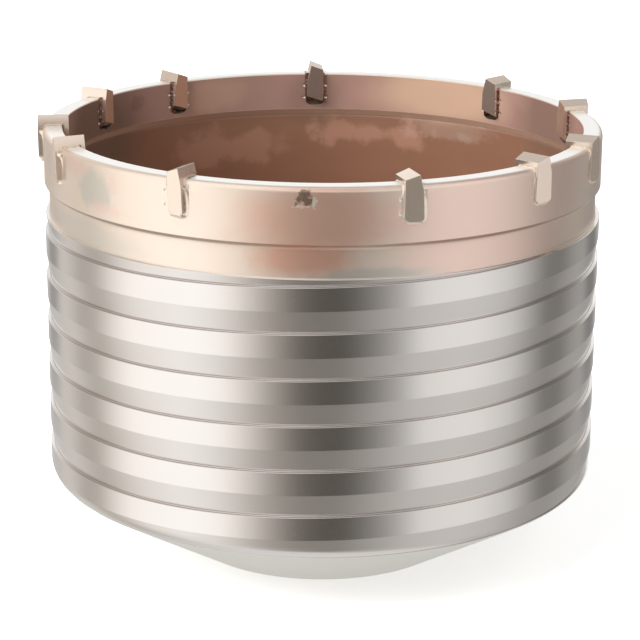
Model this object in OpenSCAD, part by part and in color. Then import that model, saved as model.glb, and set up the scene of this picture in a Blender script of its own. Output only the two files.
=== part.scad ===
// Core cutter head for drilling wide holes in masonry: a turned steel cup with
// a helical sawtooth rib on its wall, and carbide tips brazed into slots in the rim.
// It stands on its hub with the tips up. The origin is the centre of the hub's
// rear face, +Z points to the tips, and +X points right when seen from the front.

/* [Cup] */
// Diameter of the circle that the tips cut
cut_d = 125; // [110:0.1:140]
// Height of the rim's top above the hub's rear face
cup_h = 95.5; // [80:0.1:120]
// Height of the smooth rim above the neck
rim_h = 11.7; // [10.5:0.1:16]
// Radial thickness of the rim
rim_wall = 4.2; // [3.9:0.1:5]
// Radius that rounds the rim's outer top edge
rim_round = 1.1; // [0.5:0.1:2]
// Height of the guiding land inside the rim
land_h = 8.7; // [8:0.1:10]
// Radial thickness of the wall behind the rib's crests
barrel_wall = 3.4; // [2.8:0.1:3.8]
// Height of the slope between the inner land and the thinner wall
land_slope = 1.5; // [0.5:0.1:3]

/* [Neck] */
// Depth of the neck below the rim
neck_depth = 1; // [0.5:0.05:1.2]
// Height of the neck
neck_h = 7.2; // [4:0.1:10]
// Height of the slope from the rim down to the neck
neck_slope = 1.4; // [0.5:0.1:2.5]

/* [Rib] */
// Advance of the rib in one turn
rib_pitch = 9.75; // [7:0.05:14]
// Height of the rib's cylindrical crest
rib_crest = 4.95; // [2:0.05:5.5]
// Depth of the step at the rib's ledge
rib_depth = 0.8; // [0.4:0.05:1]
// Angle where the ledge leaves the neck, from +X
rib_start = -34; // [-180:1:180]
// Angle between the stations of points along the rib
rib_step = 5; // [5, 6, 7.5, 9, 10]

/* [Back] */
// Height of the shoulder's corner above the rear face
cone_h = 18; // [14:0.5:24]
// Diameter of the flat rear face
hub_d = 60.8; // [50:0.1:70]
// Radius that rounds the shoulder
shoulder_round = 3; // [1:0.1:5]
// Thickness of the conical back wall
back_wall = 5; // [4:0.1:7]
// Diameter of the boss round the socket, inside the cup
boss_d = 42; // [36:0.5:46]
// Length of the hub from the rear face to the top of the boss
hub_len = 22; // [18:0.5:26]

/* [Socket] */
// Diameter of the taper socket at the rear face
socket_d = 24; // [18:0.1:30]
// Length in which the socket narrows by one millimetre
socket_taper = 8; // [6:1:12]
// Width of the chamfer at each end of the socket
socket_chamfer = 1; // [0.5:0.1:2]

/* [Tips] */
// Reach of a tip outside the rim and the crests of the rib
tip_out = 1.4; // [0.8:0.1:2.5]
// Reach of a tip inside the rim
tip_in = 1.4; // [0.5:0.1:2]
// Width of a tip behind its cutting ridge
tip_behind = 2.9; // [2.5:0.1:3.5]
// Width of a tip ahead of its cutting ridge
tip_ahead = 1; // [0.6:0.1:1.5]
// Height of the cutting ridge above the rim
tip_rise = 2.2; // [1.8:0.1:3.5]
// Depth of a tip's bottom below the top of the rim
tip_sink = 7.4; // [6.5:0.1:7.8]
// Fall of the relief face from the ridge to the trailing side
tip_relief = 1.05; // [0.5:0.05:1.4]
// Height of the chamfer on the leading side
tip_chamfer_h = 3.4; // [1:0.1:4]
// Lean of the leading side below the chamfer
tip_lean = 0.2; // [0.1:0.05:0.3]
// Rise of the sloping heel at the inner end
tip_heel_rise = 1; // [0.3:0.1:1.5]
// Further rise of the heel towards the leading side
tip_heel_lean = 1; // [0.3:0.1:1.5]
// Length of the sloping heel at the inner end
tip_heel_len = 2.4; // [1:0.1:4]
// Radius of a tip's bottom corners
tip_corner = 1; // [0.4:0.1:1.2]
// Fall of a tip's outer face from the leading to the trailing side
tip_fall = 0.9; // [0.2:0.1:1.3]
// Fall of a tip's outer face from its top to its bottom
tip_draft = 0.3; // [0.1:0.05:0.5]
// Fall of a tip's inner end from the leading to the trailing side
tip_clearance = 0.2; // [0.1:0.05:0.4]
// Angle of the first tip's ridge, from +X
first_tip = 242.5; // [0:0.5:359.5]
// Gaps between the ridges, uneven so that the cutter doesn't ring
tip_gaps = [45.5, 29.7, 21.7, 37.3, 29.9, 46.4, 35.2, 24.9, 30.8, 21.7, 36.9];

/* [Braze] */
// Width of the seam on each side of a tip
seam = 0.25; // [0.15:0.05:0.4]
// Height that the seam stands proud of the rim
seam_proud = 0.2; // [0.1:0.05:0.3]
// Radial depth of the hollow left under a tip, from inside the rim
seam_hollow = 2; // [1:0.1:3]

/* [Hidden] */
TWO_DIGITS = 10;
$fn = 96;
ARC_STEPS = 4;
// Reach of a cutting shape past the faces that it cuts
PAST = 5;
// Depth that pieces of one solid run into each other
BITE = 0.7;

tip_r = cut_d / 2;
barrel_r = tip_r - tip_out;
neck_r = barrel_r - neck_depth;
root_r = barrel_r - rib_depth;
core_r = root_r - BITE;
rim_in_r = barrel_r - rim_wall;
wall_in_r = barrel_r - barrel_wall;
neck_top = cup_h - rim_h;
neck_bottom = neck_top - neck_h;
hub_r = hub_d / 2;
cone_angle = atan2(cone_h, barrel_r - hub_r);
// Angle from the barrel at which the shoulder's last facet leaves its crests
shoulder_cut = 10;
rib_end = cone_h - shoulder_round - BITE;
rib_stations = round(360 / rib_step);
rib_turns = ceil((neck_bottom - rib_crest - rib_end) / rib_pitch) + 1;
// Rows of points in one turn: crest end, ledge outside, ledge inside
RIB_ROWS = 3;
rib_rows = (rib_turns + 1) * RIB_ROWS;
socket_r = socket_d / 2;
socket_end_r = socket_r - hub_len / socket_taper / 2;
tip_in_r = rim_in_r - tip_in;
tip_w = tip_behind + tip_ahead;
tip_top = cup_h + tip_rise;
tip_bottom = cup_h - tip_sink;
slot_bottom = tip_bottom - seam;
slot_corner = tip_corner + seam;

function name_of(kind, i) = str(kind, i < TWO_DIGITS ? "0" : "", i);
function numbered(kind) = [for (i = [1 : len(tip_gaps)]) name_of(kind, i)];
function sum_to(list, n) = n == 0 ? 0 : list[n - 1] + sum_to(list, n - 1);
function tip_angle(i) = first_tip + sum_to(tip_gaps, i - 1);

// Points of an arc round a centre, from one angle to another
function arc(centre, r, from, to) = [
    for (i = [0 : ARC_STEPS])
        let (a = from + (to - from) * i / ARC_STEPS)
        centre + r * [cos(a), sin(a)]
];

// Height of the cone's outside, and of its inside, at a radius
function cone_z(r) = (r - hub_r) * tan(cone_angle);
function cone_in_z(r) = cone_z(r) + back_wall / cos(cone_angle);

// Outline of the cup's outside from the hub to the shoulder, with room for the crests above
function back_outline() = concat(
    [[0, 0], [hub_r, 0]],
    arc(shoulder_centre(), shoulder_round, cone_angle - 90, -shoulder_cut),
    [[barrel_r + PAST, shoulder_centre().y + PAST / tan(shoulder_cut)],
     [barrel_r + PAST, cup_h + PAST], [0, cup_h + PAST]]);

// Centre of the circle that touches both the cone and the barrel
function shoulder_centre() =
    let (r = barrel_r - shoulder_round)
    [r, cone_z(r) + shoulder_round / cos(cone_angle)];

// Height of the ledge of turn k at a station, which climbs anticlockwise
function ledge_z(k, i) = neck_bottom - rib_pitch * (k - i / rib_stations);

// Radius of the rib at a depth below its ledge: first the crest, then the slope
function rib_r(depth) = depth <= rib_crest ? barrel_r :
    barrel_r - rib_depth * (depth - rib_crest) / (rib_pitch - rib_crest);

// Radius of the rib at a station, where it is cut off at a height
function end_r(i, z) =
    let (turns = (ledge_z(0, i) - z) / rib_pitch)
    rib_r(rib_pitch * (turns - floor(turns)));

function polar(i, r, z) =
    let (a = rib_start + 360 * i / rib_stations)
    [r * cos(a), r * sin(a), z];

// Point of a row at a station. Rows run up the wall and stop where the rib is cut off
function rib_point(i, row) =
    let (k = rib_turns - floor(row / RIB_ROWS), part = row % RIB_ROWS)
    let (z = ledge_z(k, i) - (part == 0 ? rib_crest : 0))
    z <= rib_end ? polar(i, end_r(i, rib_end), rib_end) :
    z >= neck_bottom ? polar(i, end_r(i, neck_bottom), neck_bottom) :
    polar(i, part == 2 ? root_r : barrel_r, z);

// Number of a row's point at a station. After a full turn a row meets the one a turn higher
function rib_index(i, row) = i < rib_stations ? i * rib_rows + row :
    min(row + RIB_ROWS, rib_rows - 1);

// Helical sawtooth: crest, slope and ledge follow each other down the wall
module ribs() {
    points = [for (i = [0 : rib_stations - 1], row = [0 : rib_rows - 1]) rib_point(i, row)];
    wall = [for (i = [0 : rib_stations - 1], row = [0 : rib_rows - 2], half = [0, 1])
        half == 0 ?
            [rib_index(i, row), rib_index(i, row + 1), rib_index(i + 1, row + 1)] :
            [rib_index(i, row), rib_index(i + 1, row + 1), rib_index(i + 1, row)]];
    bottom = [for (i = [0 : rib_stations - 1]) rib_index(i, 0)];
    top = [for (i = [rib_stations - 1 : -1 : 0]) rib_index(i, rib_rows - 1)];
    polyhedron(points, concat(wall, [bottom, top]));
}

// Plain bar with the neck and the rim, before it is bored and slotted
module blank() {
    rotate_extrude()
        polygon(concat(
            [[0, -PAST], [core_r, -PAST], [core_r, neck_bottom - BITE], [neck_r, neck_bottom - BITE],
             [neck_r, neck_top - neck_slope], [barrel_r, neck_top]],
            arc([barrel_r - rim_round, cup_h - rim_round], rim_round, 0, 90),
            [[0, cup_h]]));
}

// Everything inside the outline of the hub, cone and shoulder
module outside() {
    rotate_extrude()
        polygon(back_outline());
}

// Hollow of the cup, with a boss round the socket
module inside() {
    rotate_extrude()
        polygon([
            [0, hub_len], [boss_d / 2, hub_len], [boss_d / 2, cone_in_z(hub_r)], [hub_r, cone_in_z(hub_r)],
            [wall_in_r, cone_in_z(wall_in_r)], [wall_in_r, cup_h - land_h - land_slope],
            [rim_in_r, cup_h - land_h], [rim_in_r, cup_h + PAST], [0, cup_h + PAST]]);
}

// Taper socket through the hub, which narrows towards the tips
module socket() {
    rotate_extrude()
        polygon([
            [0, -socket_chamfer], [socket_r + 2 * socket_chamfer, -socket_chamfer],
            [socket_r, socket_chamfer], [socket_end_r, hub_len - socket_chamfer],
            [socket_end_r + 2 * socket_chamfer, hub_len + socket_chamfer], [0, hub_len + socket_chamfer]]);
}

// Places its children at a tip: +X points outwards and +Y ahead of the ridge
module at_tip(i) {
    rotate([0, 0, tip_angle(i)])
        children();
}

// Extrudes an outline drawn in Y and Z along X, from one radius to another
module along_radius(from, to) {
    translate([from, 0, 0])
        rotate([90, 0, 90])
        linear_extrude(to - from)
        children();
}

// Slot for a tip, open at the top
module slot() {
    left = -tip_behind - seam;
    right = tip_ahead + seam;
    along_radius(rim_in_r - PAST, barrel_r + PAST)
        polygon(concat(
            arc([left + slot_corner, slot_bottom + slot_corner], slot_corner, 180, 270),
            arc([right - slot_corner, slot_bottom + slot_corner], slot_corner, 270, 360),
            [[right, cup_h + PAST], [left, cup_h + PAST]]));
}

// Block that takes away all that lies beyond a tip's face, through a point of the face
module beyond(point, turn) {
    size = 6 * PAST;
    translate(point)
        rotate(turn)
        translate([-size / 2, -size / 2, -size])
        cube(size);
}

// Carbide plate: its front view, cut off at its outer face, its inner end and its heel
module tip(i) {
    color([0.56, 0.5, 0.45])
        at_tip(i)
        difference() {
            along_radius(tip_in_r - PAST, tip_r + PAST)
                polygon(concat(
                    arc([tip_corner - tip_behind, tip_bottom + tip_corner], tip_corner, 180, 270),
                    arc([tip_ahead - tip_corner, tip_bottom + tip_corner], tip_corner, 270, 360),
                    [[tip_ahead - tip_lean, tip_top - tip_chamfer_h], [0, tip_top],
                     [-tip_behind, tip_top - tip_relief]]));
            beyond([tip_r, tip_ahead, tip_top],
                [0, atan2(tip_draft, tip_top - tip_bottom) - 90, -atan2(tip_fall, tip_w)]);
            beyond([tip_in_r, tip_ahead, tip_top], [0, 90, atan2(tip_clearance, tip_w)]);
            beyond([tip_in_r, -tip_behind, tip_bottom + tip_heel_rise],
                [atan2(tip_heel_lean, tip_w), atan2(tip_heel_rise, tip_heel_len), 0]);
        }
}

// Filler metal between a tip and its slot, slightly proud of the rim
module braze(i) {
    color([0.86, 0.74, 0.62])
        difference() {
            intersection() {
                at_tip(i)
                    slot();
                rotate_extrude()
                    polygon(concat(
                        [[rim_in_r - seam_proud, slot_bottom - PAST], [barrel_r + seam_proud, slot_bottom - PAST]],
                        arc([barrel_r - rim_round, cup_h - rim_round], rim_round + seam_proud, 0, 90),
                        [[rim_in_r - seam_proud, cup_h + seam_proud]]));
            }
            tip(i);
            at_tip(i)
                translate([rim_in_r - PAST, -tip_behind, slot_bottom - PAST])
                cube([PAST + seam_hollow, tip_w, PAST + seam + tip_heel_rise + tip_heel_lean]);
        }
}

// Steel cup with its helical rib, bored, socketed and slotted
module body() {
    color([0.77, 0.71, 0.67])
        difference() {
            intersection() {
                union() {
                    blank();
                    ribs();
                }
                outside();
            }
            inside();
            socket();
            for (i = [1 : len(tip_gaps)])
                at_tip(i)
                slot();
        }
}

body();
for (i = [1 : len(tip_gaps)]) {
    tip(i);
    braze(i);
}
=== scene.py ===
"""Core cutter head, dressed for a product picture: ribbed cup, carbide tips, braze and studio."""

import math

import bmesh
import bpy
from bpy.props import FloatProperty, FloatVectorProperty, IntProperty, PointerProperty
from mathutils import Matrix, Vector, noise


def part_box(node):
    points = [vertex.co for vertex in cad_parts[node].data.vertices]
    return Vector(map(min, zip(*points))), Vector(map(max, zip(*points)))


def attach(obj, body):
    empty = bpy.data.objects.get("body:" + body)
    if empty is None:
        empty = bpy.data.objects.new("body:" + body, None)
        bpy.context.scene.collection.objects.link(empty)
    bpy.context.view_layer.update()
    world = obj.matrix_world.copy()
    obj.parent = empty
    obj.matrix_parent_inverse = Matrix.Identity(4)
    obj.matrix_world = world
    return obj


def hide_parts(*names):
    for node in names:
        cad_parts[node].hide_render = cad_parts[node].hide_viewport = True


bl_info = {
    "name": "Core Cutter Head",
    "version": (1, 0, 0),
    "blender": (4, 5, 0),
    "location": "3D View > Sidebar > Cutter",
    "description": "Models and dresses a core cutter head in its studio",
    "category": "Object",
}

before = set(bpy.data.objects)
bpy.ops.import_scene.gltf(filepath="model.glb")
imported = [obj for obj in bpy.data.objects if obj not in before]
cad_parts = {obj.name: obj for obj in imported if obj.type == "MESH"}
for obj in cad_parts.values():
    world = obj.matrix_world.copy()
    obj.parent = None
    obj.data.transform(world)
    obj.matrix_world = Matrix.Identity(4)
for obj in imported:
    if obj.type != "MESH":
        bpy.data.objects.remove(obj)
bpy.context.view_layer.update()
BODY_LOW, BODY_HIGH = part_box("body")
TIP_NODES = sorted(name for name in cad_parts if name.startswith("tip_"))
BRAZE_NODES = sorted(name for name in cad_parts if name.startswith("braze_"))

# Points closer than this are one point
MERGE = 2e-6
# Reach of a cutting shape past the faces that it cuts
PAST = 0.005
# Straight pieces in the outline of a rounded corner
ARC_STEPS = 4
FULL_TURN = 2 * math.pi
# Millimetres in a metre, for the places that the materials use
MM = 1000.0
# Side in pixels of the frame that the camera's aim is given in
PICTURE = 640


def length(name, description, default):
    return FloatProperty(name=name, description=description, default=default, min=0.0,
                         precision=5, subtype="DISTANCE", unit="LENGTH")


def angle(name, description, degrees):
    return FloatProperty(name=name, description=description, default=math.radians(degrees),
                         subtype="ANGLE", unit="ROTATION")


def share(name, description, default):
    return FloatProperty(name=name, description=description, default=default, min=0.0, max=1.0,
                         subtype="FACTOR")


def number(name, description, default, **fit):
    return FloatProperty(name=name, description=description, default=default, **fit)


def colour(name, description, default):
    return FloatVectorProperty(name=name, description=description, default=default, size=3,
                               min=0.0, max=1.0, subtype="COLOR")


class CutterCup(bpy.types.PropertyGroup):
    """Sizes of the turned steel cup"""

    barrel_r: length("Barrel radius", "Radius of the rim and of the rib's crests", BODY_HIGH.x)
    height: length("Height", "Height of the rim's top above the rear face", BODY_HIGH.z)
    rim_h: length("Rim height", "Height of the smooth rim above the neck", 0.0117)
    rim_wall: length("Rim wall", "Radial thickness of the rim", 0.0042)
    rim_round: length("Rim round", "Radius of the rim's outer top edge", 0.0011)
    land_h: length("Land height", "Height of the guiding land inside the rim", 0.0087)
    land_slope: length("Land slope", "Height of the slope below the land", 0.0015)
    barrel_wall: length("Barrel wall", "Radial thickness of the wall behind the crests", 0.0034)
    neck_depth: length("Neck depth", "Depth of the neck below the rim", 0.001)
    neck_h: length("Neck height", "Height of the neck", 0.0072)
    neck_slope: length("Neck slope", "Height of the slope from the rim to the neck", 0.0014)
    rib_pitch: length("Rib pitch", "Advance of the rib in one turn", 0.00975)
    rib_crest: length("Rib crest", "Height of the rib's cylindrical crest", 0.00495)
    rib_depth: length("Rib depth", "Depth of the step at the rib's ledge", 0.0008)
    rib_start: angle("Rib start", "Angle where the ledge leaves the neck, from +X", -34)
    cone_h: length("Cone height", "Height of the shoulder's corner", 0.018)
    hub_r: length("Hub radius", "Radius of the flat rear face", 0.0304)
    shoulder_round: length("Shoulder round", "Radius that rounds the shoulder", 0.004)
    back_wall: length("Back wall", "Thickness of the conical back wall", 0.005)
    boss_r: length("Boss radius", "Radius of the boss inside the cup", 0.021)
    hub_len: length("Hub length", "Height of the boss above the rear face", 0.022)
    socket_r: length("Socket radius", "Radius of the taper socket at the rear face", 0.012)
    socket_fall: length("Socket fall", "Loss of radius along the taper socket", 0.001375)
    socket_chamfer: length("Socket chamfer", "Width of the chamfer at the socket's ends", 0.001)
    edge_round: length("Edge round", "Radius that breaks a sharp edge", 0.0001)
    hollow_round: length("Hollow round", "Radius in a sharp inner corner", 0.00018)
    row_gap: length("Row gap", "Largest gap between rows of points along a section", 0.0009)
    stations: IntProperty(name="Stations", description="Rows of points round the cup",
                          default=300, min=36)


class CutterTips(bpy.types.PropertyGroup):
    """Sizes of a carbide tip and of its slot"""

    out: length("Reach outside", "Reach of a tip outside the rim", 0.0014)
    inside: length("Reach inside", "Reach of a tip inside the rim", 0.0014)
    behind: length("Width behind", "Width of a tip behind its cutting ridge", 0.0029)
    ahead: length("Width ahead", "Width of a tip ahead of its cutting ridge", 0.001)
    rise: length("Rise", "Height of the cutting ridge above the rim", 0.0022)
    sink: length("Sink", "Depth of a tip's bottom below the rim's top", 0.0074)
    relief: length("Relief", "Fall of the relief face to the trailing side", 0.00105)
    chamfer_h: length("Chamfer height", "Height of the chamfer on the leading side", 0.0034)
    lean: length("Lean", "Lean of the leading side below the chamfer", 0.0002)
    heel_rise: length("Heel rise", "Rise of the sloping heel at the inner end", 0.001)
    heel_lean: length("Heel lean", "Further rise of the heel towards the leading side", 0.001)
    heel_len: length("Heel length", "Length of the sloping heel at the inner end", 0.0024)
    corner: length("Corner", "Radius of a tip's bottom corners", 0.001)
    fall: length("Fall", "Fall of the outer face from the leading to the trailing side", 0.0009)
    draft: length("Draft", "Fall of the outer face from its top to its bottom", 0.0003)
    clearance: length("Clearance", "Fall of the inner end from the leading to the trailing side",
                      0.0002)
    edge: length("Edge", "Radius that a tip's edges are honed to", 0.00007)
    seam: length("Seam", "Gap between a tip and its slot on each side", 0.00025)


class CutterBraze(bpy.types.PropertyGroup):
    """Sizes of the braze beads and of the punch marks beside the tips"""

    spread: length("Spread", "Reach of the braze fillet over the steel", 0.0008)
    climb: length("Climb", "Reach of the braze fillet up the tip", 0.00095)
    bury: length("Bury", "Depth that the fillet runs into the steel and the tip", 0.0001)
    step: length("Step", "Distance between sections of the fillet", 0.0002)
    lumps: share("Lumps", "Unevenness of the fillet outside the rim", 0.06)
    beads: share("Beads", "Unevenness of the fillet inside the rim", 0.3)
    inner: share("Inner size", "Size of the fillet inside the rim, as a share", 0.4)
    trailing: share("Trailing size", "Size of the fillet on a tip's trailing side, as a share", 0.4)
    hollow: number("Hollow", "Power that hollows the fillet's section", 1.3)
    mark_r: length("Mark radius", "Radius of the ball that makes a punch mark", 0.0006)
    mark_sink: length("Mark depth", "Depth of a punch mark", 0.00018)
    mark_gap: length("Mark gap", "Distance of a punch mark from the slot", 0.00042)
    mark_top: length("Upper mark", "Depth of the upper mark below the rim's top", 0.0028)
    mark_low: length("Lower mark", "Depth of the lower mark below the rim's top", 0.0057)


class CutterFinish(bpy.types.PropertyGroup):
    """Colours of the finishes"""

    steel: colour("Steel", "Pale plated steel of the ribs", (0.80, 0.76, 0.73))
    back: colour("Back", "Pale steel of the conical back", (0.78, 0.75, 0.68))
    champagne: colour("Champagne", "Light heat tint of the rim", (0.84, 0.72, 0.62))
    rose: colour("Rose", "Pink heat tint of the rim and neck", (0.84, 0.62, 0.54))
    copper: colour("Copper", "Copper heat tint", (0.80, 0.45, 0.33))
    verdigris: colour("Grey green", "Grey-green stain left by the flux", (0.60, 0.58, 0.52))
    land: colour("Land", "Brown rose tint of the land inside the rim", (0.36, 0.215, 0.175))
    scorched: colour("Scorched", "Brown scale inside the cup", (0.26, 0.135, 0.085))
    # Dark colour of soot stains, also laid as painted shade in creases, in the slots and inside the
    # cup
    soot_and_shade: colour("Soot", "Dark stain", (0.14, 0.09, 0.065))
    # Painted light: colour of the land where the lamp falls on it
    lit_land: colour("Sand", "Bright part of the land inside the rim", (0.56, 0.37, 0.26))
    # Ground top of the rim, lightened in part as painted light on the flat face
    ground: colour("Ground", "Bright ground top of the rim", (0.99, 0.97, 0.93))
    carbide: colour("Carbide", "Ground cemented carbide", (0.80, 0.665, 0.575))
    filler: colour("Filler", "Bright braze filler", (0.90, 0.80, 0.70))


class CutterStage(bpy.types.PropertyGroup):
    """Camera, light and floor"""

    elevation: angle("Elevation", "Height of the camera over the horizon", 17.149)
    distance: length("Distance", "Distance of the camera from its aim", 0.54623)
    aim_h: length("Aim height", "Height of the point on the axis that the camera looks at",
                  0.045144)
    roll: angle("Roll", "Turn of the camera about its own axis", 0.39)
    lens: number("Lens", "Focal length", 136.18, unit="CAMERA")
    sensor: number("Sensor", "Width of the sensor", 36.0, unit="CAMERA")
    aim_x: number("Aim across", "Column of the aim in a 640 pixel frame", 321.447, subtype="PIXEL")
    aim_y: number("Aim down", "Row of the aim in a 640 pixel frame", 341.673, subtype="PIXEL")
    floor_size: length("Floor", "Side of the floor", 6.0)
    room: share("Room", "Light that comes from all round", 0.44)
    key: number("Key lamp", "Power of the lamp at the front left", 27.0, unit="POWER")
    fill: number("Fill lamp", "Power of the lamp at the front right", 3.0, unit="POWER")
    lamp_size: length("Lamp size", "Side of each lamp", 0.9)


def settings():
    """Sizes of the cup, the tips and the braze."""
    scene = bpy.context.scene
    return scene.cutter_cup, scene.cutter_tips, scene.cutter_braze


# Outlines

def arc(centre, radius, start, end, steps=ARC_STEPS):
    """Points of an arc round a centre, between two angles in radians."""
    return [centre + radius * Vector((math.cos(a), math.sin(a)))
            for a in (start + (end - start) * i / steps for i in range(steps + 1))]


def rounded(corners):
    """Outline through (x, y, radius) corners, of which the first and last only give directions."""
    points = []
    for before, here, after in zip(corners, corners[1:], corners[2:]):
        corner = Vector(here[:2])
        back = (Vector(before[:2]) - corner).normalized()
        ahead = (Vector(after[:2]) - corner).normalized()
        if here[2] == 0:
            points.append(corner)
            continue
        half = back.angle(ahead) / 2
        centre = corner + (back + ahead).normalized() * here[2] / math.sin(half)
        reach = here[2] / math.tan(half)
        first = corner + back * reach - centre
        last = corner + ahead * reach - centre
        start = math.atan2(first.y, first.x)
        turn = math.remainder(math.atan2(last.y, last.x) - start, FULL_TURN)
        points += arc(centre, here[2], start, start + turn)
    return points


def filled_in(points, gap):
    """The same outline with points added where it has gaps wider than a given one."""
    result = [points[0]]
    for here, after in zip(points, points[1:]):
        pieces = max(1, math.ceil((after - here).length / gap))
        result += [here.lerp(after, i / pieces) for i in range(1, pieces + 1)]
    return result


# Cup

# Rounds that are softer than a broken edge, in edge rounds: below a rib's crest, and at the rim,
# the land, the boss and the hub
CREST_ROUND = 10
SOFT_ROUND = 3
# Depth of the neck's upper bend below the rim, as a share of the slope's height
NECK_BEND = 0.45
# Row gaps between the rows of the hollow, which is seen less closely
HOLLOW_GAPS = 3


def back_slope(cup):
    """Rise of the conical back for each unit of radius."""
    return cup.cone_h / (cup.barrel_r - cup.hub_r)


def inner_cone_z(cup, r):
    """Height of the conical back's inner face at a radius."""
    slope = back_slope(cup)
    return (r - cup.hub_r) * slope + cup.back_wall * math.sqrt(1 + slope * slope)


def shoulder(cup):
    """Centre of the shoulder's round, and the height at which the round leaves the cone."""
    slope = back_slope(cup)
    lean = math.sqrt(1 + slope * slope)
    r = cup.barrel_r - cup.shoulder_round
    z = (r - cup.hub_r) * slope + cup.shoulder_round * lean
    return Vector((r, z)), z - cup.shoulder_round / lean


def shoulder_r(cup, z):
    """Largest radius that the shoulder's round leaves at a height."""
    centre, _ = shoulder(cup)
    drop = max(centre.y - z, 0)
    return centre.x + math.sqrt(max(cup.shoulder_round ** 2 - drop ** 2, 0))


def rib_section(cup):
    """One turn of the rib's section, upwards: x from the crest's radius, y from the ledge."""
    corners = [(0, -cup.rib_pitch, 0), (-cup.rib_depth, -cup.rib_pitch, cup.hollow_round),
               (0, -cup.rib_crest, CREST_ROUND * cup.edge_round), (0, 0, cup.edge_round),
               (-cup.rib_depth, 0, 0)]
    return filled_in(rounded(corners), cup.row_gap)


def rib_r(cup, drop):
    """Radius of the rib at a depth below its ledge."""
    drop %= cup.rib_pitch
    slope = max(drop - cup.rib_crest, 0) / (cup.rib_pitch - cup.rib_crest)
    return cup.barrel_r - cup.rib_depth * slope


def rib_rows(cup):
    """Rows of (radius, height) at each station, which climb with the rib from cone to neck."""
    neck_low = cup.height - cup.rim_h - cup.neck_h
    top = neck_low - cup.edge_round
    _, low = shoulder(cup)
    turns = math.ceil((neck_low - low) / cup.rib_pitch)
    rows = []
    for k in range(turns, -1, -1):
        for point in rib_section(cup):
            row = []
            for i in range(cup.stations + 1):
                ledge = neck_low - cup.rib_pitch * (k - i / cup.stations)
                z = min(max(ledge + point.y, low), top)
                r = cup.barrel_r + point.x if z == ledge + point.y else rib_r(cup, ledge - z)
                row.append((min(r, shoulder_r(cup, z)), z))
            rows.append(row)
    rows.append([(r - cup.edge_round, neck_low) for r, _ in rows[-1]])
    return rows


def back_outline(cup):
    """Outline from the socket's mouth over the rear face to the cone."""
    mouth_r = cup.socket_r + cup.socket_chamfer
    return rounded([
        (cup.socket_r, cup.hub_len, 0), (cup.socket_r, cup.socket_chamfer, 0),
        (mouth_r, 0, cup.edge_round), (cup.hub_r, 0, SOFT_ROUND * cup.edge_round),
        (cup.barrel_r, cup.cone_h, 0)])


def rim_outline(cup):
    """Outline from the neck over the rim to the guiding land."""
    neck_r = cup.barrel_r - cup.neck_depth
    neck_top = cup.height - cup.rim_h
    neck_low = neck_top - cup.neck_h
    in_r = cup.barrel_r - cup.rim_wall
    wall_r = cup.barrel_r - cup.barrel_wall
    land_low = cup.height - cup.land_h
    soft = SOFT_ROUND * cup.edge_round
    return rounded([
        (cup.barrel_r, neck_low, 0), (neck_r, neck_low, cup.hollow_round),
        (neck_r, neck_top - NECK_BEND * cup.neck_slope, cup.neck_slope),
        (cup.barrel_r, neck_top, cup.edge_round), (cup.barrel_r, cup.height, cup.rim_round),
        (in_r, cup.height, soft), (in_r, land_low, soft), (wall_r, land_low - cup.land_slope, 0)])


def hollow_outline(cup):
    """Outline of the cup's hollow below the land, over the boss and down the socket."""
    in_r = cup.barrel_r - cup.rim_wall
    wall_r = cup.barrel_r - cup.barrel_wall
    land_low = cup.height - cup.land_h
    floor_z = inner_cone_z(cup, cup.hub_r)
    end_r = cup.socket_r - cup.socket_fall
    soft = SOFT_ROUND * cup.edge_round
    return rounded([
        (in_r, land_low, 0), (wall_r, land_low - cup.land_slope, soft),
        (wall_r, inner_cone_z(cup, wall_r), cup.socket_chamfer),
        (cup.hub_r, floor_z, cup.socket_chamfer), (cup.boss_r, floor_z, soft),
        (cup.boss_r, cup.hub_len, soft), (end_r + cup.socket_chamfer, cup.hub_len, 0),
        (end_r, cup.hub_len - cup.socket_chamfer, 0), (cup.socket_r, cup.socket_chamfer, 0)])


def cup_rows(cup):
    """All rows of the closed skin, each with the number of its finish."""
    def rings(points, finish):
        return [([tuple(p)] * (cup.stations + 1), finish) for p in points]
    back, ribs, rim, hollow = range(4)
    in_r = cup.barrel_r - cup.rim_wall
    rows = rings(back_outline(cup), back)
    rows += [(row, ribs) for row in rib_rows(cup)]
    outside = filled_in(rim_outline(cup), cup.row_gap)
    turn_in = next(i for i, p in enumerate(outside) if p[0] < in_r + MERGE)
    rows += rings(outside[:turn_in], rim) + rings(outside[turn_in:], hollow)
    inner = rings(filled_in(hollow_outline(cup), HOLLOW_GAPS * cup.row_gap), hollow)
    rows += [(row, hollow if row[0][0] > cup.socket_r else back) for row, _ in inner]
    rows.append((rows[0][0], back))
    return rows


def skin(cup):
    """Closed mesh through the rows, with the turns of the rib stitched where they meet."""
    mesh = bmesh.new()
    rows = cup_rows(cup)
    grid = []
    for row, _ in rows:
        line = []
        for i, (r, z) in enumerate(row):
            a = cup.rib_start + FULL_TURN * (i % cup.stations) / cup.stations
            line.append(mesh.verts.new((r * math.cos(a), r * math.sin(a), z)))
        grid.append(line)
    for (low, high), (_, finish) in zip(zip(grid, grid[1:]), rows):
        for i in range(cup.stations):
            corners = (low[i], low[i + 1], high[i + 1], high[i])
            mesh.faces.new(corners).material_index = finish
    bmesh.ops.remove_doubles(mesh, verts=mesh.verts, dist=MERGE)
    bmesh.ops.recalc_face_normals(mesh, faces=mesh.faces)
    return mesh


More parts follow.
